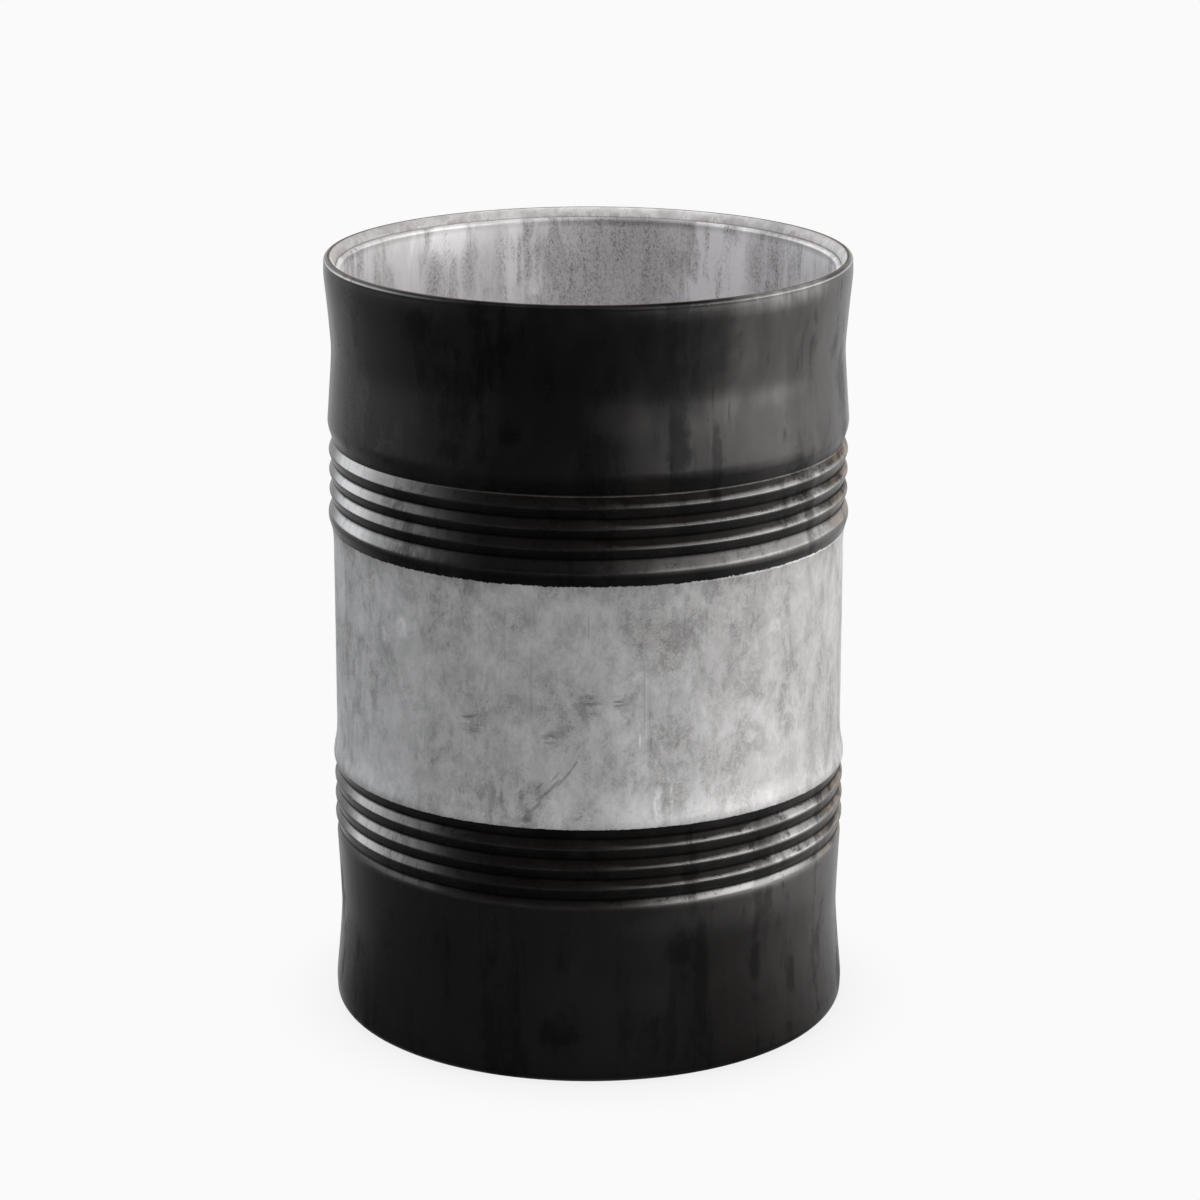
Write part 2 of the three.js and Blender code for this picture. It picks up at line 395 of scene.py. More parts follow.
class Value:
    """An output socket. Arithmetic on it adds Math nodes to its graph."""

    def __init__(self, graph, socket):
        self.graph = graph
        self.socket = socket

    __add__, __radd__ = operator("ADD"), operator("ADD", swapped=True)
    __sub__, __rsub__ = operator("SUBTRACT"), operator("SUBTRACT", swapped=True)
    __mul__, __rmul__ = operator("MULTIPLY"), operator("MULTIPLY", swapped=True)
    maximum = operator("MAXIMUM")
    arctan2 = operator("ARCTAN2")

    def __abs__(self):
        return self.graph.math("ABSOLUTE", self)

    def clamped(self):
        return self.graph.math("ADD", self, 0.0, clamp=True)

    def swing(self, amount):
        """A noise centred on zero and scaled."""
        return (self - 0.5) * amount

    def raised(self, mask, by):
        """Multiplied by up to 1 + by where the mask is 1."""
        return self * (1.0 + mask * by)

    def lowered(self, mask, by):
        return self * (1.0 - mask * by)

    def linear(self, start, end, to=(0.0, 1.0), kind="LINEAR"):
        """Goes from to[0] at start to to[1] at end, and is held beyond them."""
        inputs = dict(enumerate((self, start, end, *to)))
        return self.graph.value(
            "ShaderNodeMapRange", inputs, interpolation_type=kind, clamp=True
        )

    def smooth(self, start, end, to=(0.0, 1.0)):
        """The same with eased ends."""
        return self.linear(start, end, to, kind="SMOOTHSTEP")

    def scaled(self, factor):
        """A colour multiplied by a value."""
        inputs = {0: self, "Scale": factor}
        return self.graph.value("ShaderNodeVectorMath", inputs, operation="SCALE")

    def curve(self, half_turn, points):
        """Straight lines between (azimuth in degrees, value 0 to 1).

        This value is the azimuth, in units of which half_turn is 180 degrees.
        """
        node = self.graph.node("ShaderNodeValToRGB", {0: self.linear(-half_turn, half_turn)})
        elements = node.color_ramp.elements
        node.color_ramp.interpolation = "LINEAR"
        elements.remove(elements[0])
        for index, (degrees, level) in enumerate(sorted(points)):
            position = (degrees + 180.0) / 360.0
            element = elements[0] if index == 0 else elements.new(position)
            element.position = position
            element.color = (level, level, level, 1.0)
        return Value(self.graph, node.outputs[0])


def graph_of(*values):
    return next(value.graph for value in values if isinstance(value, Value))


def mix(mask, a, b):
    """Colour a where the mask is 0, b where it is 1."""
    return graph_of(mask).value("ShaderNodeMix", {0: mask, 6: a, 7: b}, 2, data_type="RGBA")


def blend(mask, a, b):
    """Number a where the mask is 0, b where it is 1."""
    return graph_of(mask, a).value("ShaderNodeMix", {0: mask, 2: a, 3: b}, data_type="FLOAT")


class Graph:
    """Adds nodes to a node tree."""

    def __init__(self, tree):
        self.tree = tree

    def put(self, socket, value):
        if isinstance(value, Value):
            self.tree.links.new(value.socket, socket)
            return
        if isinstance(value, tuple):  # colours are written without their alpha
            value = (*value, 1.0)[:len(socket.default_value)]
        socket.default_value = value

    def node(self, kind, inputs=None, **settings):
        node = self.tree.nodes.new(kind)
        for key, setting in settings.items():
            setattr(node, key, setting)
        for key, value in (inputs or {}).items():
            self.put(node.inputs[key], value)
        return node

    def value(self, kind, inputs=None, output=0, **settings):
        return Value(self, self.node(kind, inputs, **settings).outputs[output])

    def math(self, operation, *operands, clamp=False):
        inputs = dict(enumerate(operands))
        return self.value("ShaderNodeMath", inputs, operation=operation, use_clamp=clamp)

    @cached_property
    def position(self):
        return self.value("ShaderNodeTexCoord", output="Object")

    @cached_property
    def xyz(self):
        return self.split(self.position)

    def split(self, vector):
        node = self.node("ShaderNodeSeparateXYZ", {0: vector})
        return [Value(self, socket) for socket in node.outputs]

    @cached_property
    def azimuth(self):
        """Radians, 0 at the front, growing towards +X, wrapping at the back."""
        return self.xyz[0].arctan2(self.xyz[1] * -1.0)

    @cached_property
    def radius(self):
        x, y, z = self.xyz
        return self.math("SQRT", x * x + y * y)

    @cached_property
    def unrolled(self):
        """Millimetres around and up the wall."""
        return self.azimuth * WALL_R, self.xyz[2] * 1000.0

    def around(self, points):
        """A value by azimuth, see Value.curve."""
        return self.azimuth.curve(math.pi, points)

    def noise(self, scale, detail, rough, distort=0.0, level=1, up=1, off=(0, 0, 0)):
        """Noise on the object's position, with x and y scaled by level and z by up."""
        placed = self.value(
            "ShaderNodeMapping",
            {"Vector": self.position, "Scale": (level, level, up), "Location": off},
        )
        return self.value("ShaderNodeTexNoise", {
            "Vector": placed, "Scale": scale, "Detail": detail, "Roughness": rough,
            "Distortion": distort,
        })

    def attribute(self, name):
        return self.value("ShaderNodeAttribute", output="Fac", attribute_name=name)

    def spot(self, place, soft, warp, amount, turn=0.0):
        """1 inside an ellipse on the wall, 0 outside, its edge softened and warped by a noise.

        place is (azimuth in degrees, height, half width, half height in mm); turn is in degrees.
        """
        degrees, height, half_width, half_height = place
        u, v = self.unrolled
        inputs = {
            "u": u, "v": v, "u0": math.radians(degrees) * WALL_R, "v0": height,
            "iw": 1.0 / half_width, "ih": 1.0 / half_height,
            "c": math.cos(math.radians(turn)), "s": math.sin(math.radians(turn)),
            "inner": 1.0 - soft, "warp": warp, "amount": amount * 2,
        }
        node = self.node("ShaderNodeGroup", node_tree=spot_group())
        for key, value in inputs.items():
            self.put(node.inputs[key], value)
        return Value(self, node.outputs[0])

    def bump(self, height, strength, distance):
        inputs = {"Height": height, "Strength": strength, "Distance": distance}
        return self.value("ShaderNodeBump", inputs)

    def shade(self, base, metallic, rough, normal, specular=0.5):
        self.surface(self.value("ShaderNodeBsdfPrincipled", {
            "Base Color": base, "Metallic": metallic, "Roughness": rough,
            "Specular IOR Level": specular, "IOR": 1.5, "Normal": normal,
        }))

    def surface(self, shader, kind="ShaderNodeOutputMaterial"):
        self.node(kind, {"Surface": shader})


def spot_group():
    """The node group behind Graph.spot, made once."""
    found = bpy.data.node_groups.get("spot")
    if found:
        return found
    tree = bpy.data.node_groups.new("spot", "ShaderNodeTree")
    keys = ("u", "v", "u0", "v0", "iw", "ih", "c", "s", "inner", "warp", "amount")
    for key in keys:
        tree.interface.new_socket(key, in_out="INPUT", socket_type="NodeSocketFloat")
    tree.interface.new_socket("mask", in_out="OUTPUT", socket_type="NodeSocketFloat")
    graph = Graph(tree)
    given = graph.node("NodeGroupInput").outputs
    (u, v, centre_u, centre_v, per_width, per_height, cosine, sine, inner, warp,
     amount) = [Value(graph, given[key]) for key in keys]
    du, dv = u - centre_u, v - centre_v
    across = (du * cosine + dv * sine) * per_width
    along = (dv * cosine - du * sine) * per_height
    distance = graph.math("SQRT", across * across + along * along)
    distance = distance + (warp - 0.5) * amount
    graph.node("NodeGroupOutput", {"mask": distance.smooth(1.0, inner)})
    return tree


def open_graph(owner):
    """An empty graph for a material or a world."""
    owner.use_nodes = True
    owner.node_tree.nodes.clear()
    return Graph(owner.node_tree)


def new_material(name):
    material = bpy.data.materials.new(name)
    return material, open_graph(material)


# =====================================================================
# Soft marks stored on the vertices, given a ragged edge in the materials
# =====================================================================
# Each mark is (azimuth in degrees, height, half width, half height in mm, strength).
SHELL_MARKS = {
    # dark stains on the black paint
    "stains": [
        (19.5, 735, 15, 62, 1.0), (22.5, 815, 13, 50, 0.8), (-16.5, 738, 14, 12, 0.9),
        (-27, 765, 8, 50, 0.8), (-38.0, 843, 26, 24, 0.9), (25.5, 90, 12, 95, 1.0),
        (20.4, 150, 18, 26, 1.0), (28.0, 700, 9, 50, 0.8), (14.0, 55, 26, 40, 0.9),
        (52.0, 90, 12, 40, 0.8), (-6.0, 60, 34, 25, 0.8), (-48, 700, 18, 16, 0.9),
        (-8, 800, 10, 40, 0.7), (-31, 712, 20, 18, 0.8), (40, 120, 12, 30, 0.8),
        (-70, 800, 16, 40, 0.6), (-33, 120, 10, 60, 0.7), (-52, 130, 14, 36, 0.7),
        (47, 715, 7, 50, 0.7), (3, 700, 26, 12, 0.7), (75, 750, 26, 50, 0.8),
        (98, 820, 20, 60, 0.9), (118, 730, 18, 70, 0.9), (140, 790, 30, 30, 0.8),
        (165, 720, 22, 60, 0.9), (-172, 820, 16, 60, 0.9), (-150, 740, 26, 40, 0.8),
        (-128, 800, 12, 70, 0.9), (-105, 730, 30, 26, 0.8), (-88, 830, 14, 50, 0.8),
        (88, 90, 26, 60, 0.9), (112, 140, 20, 50, 0.8), (138, 60, 40, 30, 0.9),
        (170, 130, 14, 70, 0.9), (-158, 70, 34, 40, 0.9), (-130, 150, 16, 40, 0.8),
        (-104, 80, 28, 50, 0.9), (-80, 140, 14, 50, 0.8),
    ],
    # lighter, cleaner patches on the black paint, some of them painted highlights
    "pales_and_highlights": [
        (7, 757, 34, 26, 1.0), (30, 768, 22, 16, 0.7), (46, 765, 36, 14, 0.9),
        (33, 835, 26, 44, 0.8), (12, 183, 26, 14, 1.0), (-5.5, 110, 22, 50, 0.6),
        (-58, 760, 20, 60, 0.4), (41, 150, 6, 30, 0.6), (60, 170, 40, 20, 0.5),
        (-20, 160, 34, 20, 0.5), (33, 60, 6, 40, 0.4), (12, 800, 14, 40, 0.3),
        (85, 780, 40, 30, 0.6), (128, 830, 30, 40, 0.6), (155, 760, 34, 30, 0.6),
        (-165, 760, 40, 30, 0.7), (-138, 840, 26, 30, 0.6), (-112, 770, 40, 30, 0.6),
        (100, 170, 40, 20, 0.6), (150, 150, 40, 30, 0.6), (-142, 110, 30, 50, 0.6),
        (-92, 160, 40, 24, 0.6),
    ],
    # worn, flecked parts of the silver band
    "flecked": [
        (-56, 540, 13, 38, 1.0), (-55, 430, 14, 90, 0.8), (17.3, 492, 28, 44, 0.9),
        (-33, 530, 22, 30, 0.9), (-29, 470, 9, 66, 0.9), (-16, 535, 16, 24, 0.9),
        (0, 440, 26, 34, 0.8), (-25, 412, 20, 24, 0.9), (-12, 336, 30, 24, 0.9),
        (9, 425, 16, 60, 0.8), (26, 470, 16, 70, 0.6), (52, 430, 12, 80, 0.6),
        (-8, 420, 18, 30, 0.6), (12, 352, 26, 30, 0.6), (-44, 420, 14, 40, 0.5),
        (35, 380, 12, 50, 0.5), (80, 480, 20, 70, 0.9), (104, 380, 30, 50, 0.9),
        (126, 520, 34, 30, 0.9), (150, 420, 18, 90, 0.9), (175, 500, 30, 40, 0.9),
        (-160, 370, 34, 40, 0.9), (-140, 500, 18, 60, 0.9), (-118, 420, 26, 50, 0.9),
        (-96, 530, 30, 30, 0.9), (-84, 360, 26, 40, 0.8),
    ],
    # parts of the silver band kept clear of flecks
    "clear": [
        (-41, 478, 28, 26, 1.0), (0, 482, 24, 26, 1.0), (-40, 335, 50, 18, 1.0),
        (48, 340, 66, 34, 1.0), (-12, 490, 24, 20, 0.8), (-17, 380, 22, 22, 0.7),
        (-45, 380, 30, 30, 0.7), (40, 540, 40, 20, 0.6), (2, 540, 20, 16, 0.7),
        (90, 560, 40, 20, 1.0), (130, 350, 40, 24, 1.0), (-150, 560, 40, 20, 1.0),
    ],
}
LINER_MARKS = {
    "dark": [
        (171, 815, 56, 130, 1.0), (-139, 812, 14, 34, 0.9), (-149.5, 822, 10, 44, 0.9),
        (134.5, 830, 17, 46, 0.8), (-158, 808, 10, 60, 0.6), (121, 840, 12, 40, 0.6),
        (-121, 835, 7, 50, 0.8), (165, 790, 16, 80, 0.6), (-100, 760, 26, 120, 0.8),
        (-60, 820, 30, 80, 0.8), (-20, 780, 40, 120, 0.9), (20, 830, 20, 70, 0.8),
        (55, 760, 34, 120, 0.8), (90, 820, 24, 90, 0.8), (110, 700, 30, 90, 0.8),
        (180, 560, 70, 160, 0.7), (0, 500, 80, 160, 0.8), (-120, 480, 60, 140, 0.8),
        (90, 420, 70, 160, 0.8), (-60, 300, 80, 140, 0.8), (150, 250, 80, 140, 0.8),
    ],
    "pale": [
        (-143, 856, 42, 24, 1.0), (-161, 820, 15, 60, 0.8), (-166, 800, 11, 40, 0.7),
        (147, 815, 36, 110, 1.0), (-128, 800, 24, 70, 0.4), (-80, 830, 30, 60, 0.7),
        (-40, 840, 30, 40, 0.7), (38, 800, 26, 90, 0.8), (72, 840, 20, 60, 0.7),
        (100, 780, 14, 90, 0.6),
    ],
}


def add_marks(obj, table, radius):
    """Stores, for each kind of mark, the strongest one at each vertex."""
    mesh = obj.data
    points = np.zeros(len(mesh.vertices) * 3)
    mesh.vertices.foreach_get("co", points)
    x, y, z = points.reshape(-1, 3).T
    azimuth = np.arctan2(x, -y)
    for key, marks in table.items():
        strongest = np.zeros(len(z))
        for degrees, height, half_width, half_height, strength in marks:
            turn = (azimuth - math.radians(degrees) + math.pi) % TAU - math.pi
            reach = np.hypot(turn * radius / half_width, (z * 1000.0 - height) / half_height)
            strongest = np.maximum(strongest, strength * np.clip(1.25 - 0.75 * reach, 0, 1))
        store(mesh, key, strongest)


# =====================================================================
# Shell paint. Heights are in mm; AROUND tables are (azimuth in degrees, value).
# =====================================================================


def shell_noises(paint):
    return SimpleNamespace(
        clouds=paint.noise(6.5, detail=5.0, rough=0.60, distort=0.5, up=0.5),
        mottle=paint.noise(17.0, detail=6.0, rough=0.68, distort=0.6, up=0.5, off=(0, 2.0, 0)),
        fine=paint.noise(75.0, detail=4.0, rough=0.70, up=0.6),
        grain=paint.noise(430.0, detail=2.0, rough=0.75),
        streaks=paint.noise(60.0, detail=4.0, rough=0.60, distort=0.1, up=0.04),
        drips=paint.noise(24.0, detail=5.0, rough=0.66, distort=0.5, up=0.09, off=(0.3, 0, 0)),
        hair=paint.noise(190.0, detail=2.0, rough=0.6, up=0.05, off=(1.3, 0, 0)),
    )


# sheen of the wall below the ribs, and of its lower part relative to that
LOW_SHEEN_AROUND = [
    (-180, .8), (-100, .8), (-60, .62), (-25, .9), (12, 1), (62, 1), (90, .9), (180, .8),
]
FOOT_SHEEN_AROUND = [
    (-180, 1), (12, 1), (22, .36), (36, .27), (50, .40), (62, .56), (80, .9), (100, 1), (180, 1),
]


def black_paint(paint, tex, height):
    """Cloudy black paint, stained and dripped on, duller towards the ground."""
    clouds, mottle, fine = tex.clouds, tex.mottle, tex.fine
    haze = (clouds * 0.55 + mottle * 0.45).smooth(0.42, 0.62)
    base = mix(haze, (0.0040, 0.0037, 0.0036), (0.0110, 0.0100, 0.0094))
    scattered = (tex.drips * 0.50 + (mottle * 0.30 + fine * 0.20)).smooth(0.490, 0.415)
    placed = paint.attribute("stains") + (mottle.swing(1.7) + fine.swing(1.1))
    stain = (scattered * 0.75).maximum(placed.smooth(0.35, 0.85))
    base = mix(stain * 0.85, base, (0.0016, 0.0015, 0.0015))
    # thin upright scratches and dried runs
    scratches = tex.hair.smooth(0.62, 0.70) * mottle.smooth(0.44, 0.58)
    # lighter patches, some of them painted highlights: more specular and a lighter colour
    pales_and_highlights = (paint.attribute("pales_and_highlights") + mottle.swing(1.2)).smooth(0.15, 1.0)
    specular = (clouds * 0.5 + mottle * 0.5).linear(0.38, 0.60, to=(0.32, 0.60))
    specular = specular.raised(pales_and_highlights, by=0.55)
    specular = specular.lowered(stain, by=0.60)
    specular = specular.lowered(scratches, by=0.35)
    specular = specular * tex.streaks.linear(0.25, 0.75, to=(0.82, 1.16))
    base = mix(pales_and_highlights * 0.5, base, (0.0120, 0.0108, 0.0100))

    lower = height.smooth(225.0, 205.0)
    sheen = height.smooth(10.0, 235.0, to=(0.16, 0.95)) * paint.around(LOW_SHEEN_AROUND)
    sheen = sheen * blend(height.smooth(196.0, 152.0), 1.0, paint.around(FOOT_SHEEN_AROUND))
    specular = specular * blend(lower, 1.0, sheen)
    base = mix(lower * (0.75 - stain * 0.35), base, (0.0125, 0.0119, 0.0116))
    rough = mottle.linear(0.3, 0.7, to=(0.25, 0.19)) + stain * 0.16
    return SimpleNamespace(base=base, rough=rough, specular=specular)


SILVER_LOW, SILVER_HIGH = 299.0, 573.0  # edges of the silver band

# painted light on the band's lower half, darkening at its foot, and a painted highlight line at
# its upper edge, all by azimuth
SILVER_LIGHT_AROUND = [
    (-180, .2), (-60, .02), (-30, .07), (0, .10), (13, .27), (20, .27), (45, .33), (56, .13),
    (75, .0), (120, .2), (180, .2),
]
SILVER_FOOT_AROUND = [
    (-180, 0), (-100, .05), (-70, .14), (-45, .12), (-25, 0), (180, 0),
]
EDGE_HIGHLIGHT_AROUND = [
    (-180, 0), (18, 0), (38, 1), (62, 1), (75, 0.3), (90, 0), (180, 0),
]

# Marks on the band: azimuth, height, half width, half height, then what is named.
LEVEL_SCUFFS = [(-26, 412, 20, 17), (0.5, 446, 17, 9), (6.5, 443, 8, 12), (-8, 402, 12, 10)]
STROKES = [  # turn in degrees
    (-5.2, 356, 18, 2.2, 52), (-7.6, 346, 15, 2.2, 50), (-9.6, 336, 12, 1.8, 46),
    (-3.0, 371, 8, 2.0, 55), (-7.2, 357, 11, 1.6, 50), (-10.4, 347, 8, 2.0, 47),
    (-11.5, 322, 9, 2.4, 42), (-14.5, 334, 4, 9, 0), (-19, 330, 3, 12, 0),
    (-12.9, 314, 6, 9, 0), (-13.5, 308, 9, 4, 0),
]
LIGHT_SPOTS = [  # strength, turn in degrees
    (-44.8, 504, 11, 17, 0.36, 14), (-51, 491, 6, 11, 0.26, 0), (44.9, 506, 13, 11, 0.24, 0),
    (39.5, 488, 3.4, 14, 0.2, 0), (11.2, 398, 1.8, 11, 0.45, 0), (15.2, 325, 6.0, 26, 0.34, 0),
    (18.3, 330, 3.0, 20, 0.24, 0), (12.6, 436, 1.1, 70, 0.12, 0), (10, 470, 20, 4, 0.1, 30),
]
DARK_LINES = [  # strength
    (12.2, 436, 1.0, 72, 0.13), (0.2, 528, 1.2, 20, 0.25), (36.3, 430, 1.0, 60, 0.12),
    (-38, 460, 1.2, 45, 0.12),
]


def silver_edges(paint, height):
    """(mask of the silver band, height of its toothed upper edge)."""
    tooth = paint.noise(330.0, detail=3.0, rough=0.75, up=0.15)
    wide_tooth = paint.noise(90.0, detail=2.0, rough=0.6, up=0.1)
    top = SILVER_HIGH + (tooth.swing(6.0) + wide_tooth.swing(2.5))
    foot = SILVER_LOW + (tooth.swing(1.8) + wide_tooth.swing(1.6))
    mask = (top - height).linear(-0.15, 0.15) * (height - foot).linear(-0.15, 0.15)
    return mask, top


def silver_marks(paint, value, warp):
    """Scuffs of short level scratches, oblique strokes, bare patches and thin upright lines."""
    level = paint.noise(
        60.0, detail=4.0, rough=0.7, distort=0.5, level=0.35, up=2.6, off=(0, 0, 2.0)
    )
    for place in LEVEL_SCUFFS:
        scuff = paint.spot(place, soft=0.7, warp=warp, amount=0.9) * level.smooth(0.46, 0.54)
        value = value.lowered(scuff, by=0.50)
    for *place, turn in STROKES:
        stroke = paint.spot(place, soft=0.6, warp=warp, amount=1.3, turn=turn)
        value = value.lowered(stroke, by=0.36)
    for *place, strength, turn in LIGHT_SPOTS:
        light = paint.spot(place, soft=0.55, warp=warp, amount=0.25, turn=turn)
        value = value.raised(light, by=strength)
    for *place, strength in DARK_LINES:
        dark = paint.spot(place, soft=0.7, warp=warp, amount=0.9)
        value = value.lowered(dark, by=strength)
    return value


def silver_paint(paint, tex, height, top):
    """Silver paint, chipped and flecked where it is worn, with painted light on its lower half and
    a painted highlight line at its upper edge.
    """
    big = paint.noise(8.0, detail=5.0, rough=0.60, distort=0.8, up=0.7, off=(2.0, 1.0, 0))
    mid = paint.noise(23.0, detail=6.0, rough=0.66, distort=0.7, up=0.6, off=(0, 3.0, 0))
    fine = paint.noise(120.0, detail=7.0, rough=0.84, up=0.75, off=(3.3, 0, 0))
    grain = paint.noise(520.0, detail=3.0, rough=0.8, off=(1.1, 0, 0))
    chips = paint.noise(52.0, detail=8.0, rough=0.80, distort=0.25, up=0.75, off=(6.0, 2.0, 0))

    worn = (mid * 0.6 + big * 0.4).smooth(0.43, 0.61)
    ragged = mid.swing(1.6) + fine.swing(0.9)
    worn = worn.maximum((paint.attribute("flecked") + ragged).smooth(0.35, 0.95))
    worn = worn.lowered((paint.attribute("clear") + ragged).smooth(0.35, 0.85), by=0.85)
    fleck = (grain * 0.55 + fine * 0.45).smooth(0.485, 0.57)
    fleck = fleck * worn.linear(0.0, 1.0, to=(0.10, 1.0))
    runs = (tex.hair * 0.6 + tex.drips * 0.4).smooth(0.56, 0.66) * big.smooth(0.36, 0.56)
    patches = chips.smooth(0.508, 0.518) * worn.linear(0.0, 1.0, to=(0.45, 1.0))
    bright = chips.smooth(0.455, 0.440) * mid.linear(0.35, 0.6, to=(1.0, 0.3))

    value = 0.455 + (big.swing(-0.26) + mid.swing(-0.24))
    # painted light on the lower half of the band, by azimuth
    value = value.raised(height.smooth(500.0, 345.0), by=paint.around(SILVER_LIGHT_AROUND))
    value = value.lowered(patches, by=0.25)
    value = value.raised(bright, by=0.09)
    value = value.lowered(worn, by=0.09)
    value = value.lowered(fleck, by=0.27)
    value = value.lowered(runs, by=0.16)
    value = value.lowered(tex.streaks.smooth(0.62, 0.74), by=0.08)
    value = value.lowered(height.smooth(332.0, 308.0), by=paint.around(SILVER_FOOT_AROUND))
    value = silver_marks(paint, value, warp=fine)
    # painted highlight along the upper edge, by azimuth
    edge_highlight = abs((top - height) - 1.0).smooth(1.3, 0.7) * paint.around(EDGE_HIGHLIGHT_AROUND)
    value = value.raised(edge_highlight, by=0.85)

    brown = worn.smooth(0.5, 1.0) * (fleck * 0.04)
    channels = {0: value * (0.995 + brown), 1: value, 2: value * (1.008 - brown)}
    base = paint.value("ShaderNodeCombineColor", channels)
    return SimpleNamespace(base=base, rough=mid.linear(0.3, 0.7, to=(0.46, 0.56)) + fleck * 0.12)


# dirt and painted shade on the upper and lower ribs by azimuth, how much thicker it lies, and the
# slope under the ribs cleared and given a painted highlight
UPPER_DIRT_AND_SHADE_AROUND = [
    (-180, .55), (-120, .8), (-95, .35), (-78, .02), (-42, .12), (-25, .6), (10, 1), (30, 1),
    (48, 1), (56, .72), (66, 1), (75, 1), (90, .5), (120, .6), (150, .9), (180, .55),
]
LOWER_DIRT_AND_SHADE_AROUND = [
    (-180, .7), (-140, .3), (-100, .7), (-78, .02), (-55, .08), (-40, .16), (-25, .70), (10, 1),
    (24, .97), (34, .85), (44, .60), (53, .55), (62, .75), (72, .85), (90, .6), (130, .3),
    (180, .7),
]
THICK_DIRT_AND_SHADE_AROUND = [
    (-180, 0), (2, 0), (12, .9), (28, .6), (42, .3), (52, 0), (66, .3), (76, .3), (95, 0),
    (180, 0),
]
FOOT_HIGHLIGHT_AROUND = [
    (-180, 0), (5, 0), (14, .5), (26, .62), (35, .95), (46, .95), (56, .45), (68, .2), (90, 0),
    (180, 0),
]
# sheen of the rubbed crests, and the beige deposit on the slopes
RUBBED_AROUND = [
    (-180, .3), (-120, .22), (-80, .40), (-62, .36), (-52, .20), (-38, .40), (-28, .05), (0, 0),
    (15, .5), (30, .72), (38, .9), (47, .9), (53, .5), (60, .35), (66, .16), (80, .2),
    (110, .3), (180, .3),
]
BEIGE_AROUND = [
    (-180, .5), (-165, 0), (-140, .3), (-100, 0), (60, 0), (72, .8), (84, 1), (96, .4),
    (110, 0), (150, .3), (180, .5),
]


def paint_ribs(paint, coat, tex, height, black_mask):
    """Dirt and painted shade on the upper slopes, painted shade in the grooves and under the
    crests, and worn crests with a painted highlight, on the black paint only.
    """
    patchy = paint.noise(30.0, detail=5.0, rough=0.7, distort=0.5, up=1.8, off=(5.0, 0, 0))
    slope = paint.attribute("slope_dirt_and_shade")
    upper = height.smooth(400.0, 420.0)
    ridge = height.smooth(580.0, 584.0) * height.smooth(603.0, 602.0)  # lowest upper rib
    spread = blend(upper, paint.around(LOWER_DIRT_AND_SHADE_AROUND), paint.around(UPPER_DIRT_AND_SHADE_AROUND))
    spread = spread * blend(ridge, 1.0, 0.40)
    thick = 1.0 + paint.around(THICK_DIRT_AND_SHADE_AROUND) * blend(ridge, 1.0, 0.2)
    # dirt on the slopes, partly painted shade: darker towards the groove and set by azimuth
    dirt_and_shade = ((slope * thick) * (spread * patchy.linear(0.32, 0.60, to=(1.06, 0.84)))).clamped()
    # the lowest slope, at some azimuths, cleared of it: a painted highlight
    foot = height.smooth(224.0, 217.0) * paint.around(FOOT_HIGHLIGHT_AROUND)
    dirt_and_shade = dirt_and_shade.lowered(foot, by=0.92)
    specks = (tex.grain * 0.55 + tex.fine * 0.45).smooth(0.49, 0.43)
    specks = specks * patchy.smooth(0.52, 0.42)
    where = slope.smooth(0.0, 0.3) * spread.linear(0.1, 0.6, to=(0.12, 0.5))
    dirt_and_shade = (dirt_and_shade + specks * where).clamped()
    dirt_and_shade = dirt_and_shade * black_mask

    highlight_mask = paint.attribute("crest").maximum(slope.smooth(0.0, 0.15)) * black_mask
    sheen = blend(upper, 1.0, 0.60) * paint.around(RUBBED_AROUND)
    coat.specular = coat.specular.raised(highlight_mask * 1.6, by=sheen)
    # more specular on that cleared slope, part of the same painted highlight
    coat.specular = coat.specular.raised(foot * height.smooth(198.0, 206.0), by=0.9)
    dirt_and_shade_colour = mix(patchy, (0.0022, 0.0017, 0.0015), (0.0085, 0.0063, 0.0050))
    coat.base = mix(dirt_and_shade, coat.base, dirt_and_shade_colour)
    coat.specular = coat.specular.lowered(dirt_and_shade, by=0.93)
    coat.rough = coat.rough + dirt_and_shade * 0.22

    beige = paint.around(BEIGE_AROUND) * (slope.smooth(0.05, 0.25) * patchy.smooth(0.40, 0.56))
    beige = beige * black_mask
    beige_colour = mix(tex.fine, (0.085, 0.062, 0.042), (0.30, 0.25, 0.195))
    coat.base = mix(beige * 0.8, coat.base, beige_colour)
    coat.rough = blend(beige, coat.rough, 0.6)

    # painted shade in the grooves and on the faces under the crests
    groove = paint.attribute("groove") * black_mask
    coat.base = mix(groove, coat.base, (0.0012, 0.0010, 0.0009))
    coat.specular = coat.specular.lowered(groove, by=0.88)
    coat.rough = coat.rough + groove * 0.25

    # lighter crests: worn paint and a painted highlight
    crest = paint.attribute("crest") * black_mask
    crest = crest * patchy.linear(0.35, 0.6, to=(0.25, 0.9))
    coat.base = mix(crest * 0.6, coat.base, (0.030, 0.027, 0.025))

    # a thin bare line in the top groove
    bare_line = abs(height - 672.2).smooth(1.2, 0.5) * patchy.linear(0.35, 0.6, to=(0.3, 1.0))
    coat.base = mix(bare_line * 0.8, coat.base, (0.10, 0.092, 0.085))
    coat.metallic = blend(bare_line * 0.6, coat.metallic, 1.0)


# painted light and shade on the bare bead, by azimuth, and a painted highlight of pale paint under
# the rim
RIM_LIGHT_AND_SHADE_AROUND = [
    (-180, .88), (-165, .86), (-155, .8), (-142, .62), (-130, .56), (-118, .49), (-90, .54),
    (-60, .7), (60, .7), (90, .54), (104, .52), (129, .56), (141, .75), (154, .92), (168, 1),
    (180, .88),
]
RIM_HIGHLIGHT_AROUND = [
    (-180, 0), (24, 0), (34, .45), (43, 1), (55, .85), (63, .2), (70, 0), (120, 0), (140, .5),
    (160, 0), (180, 0),
]


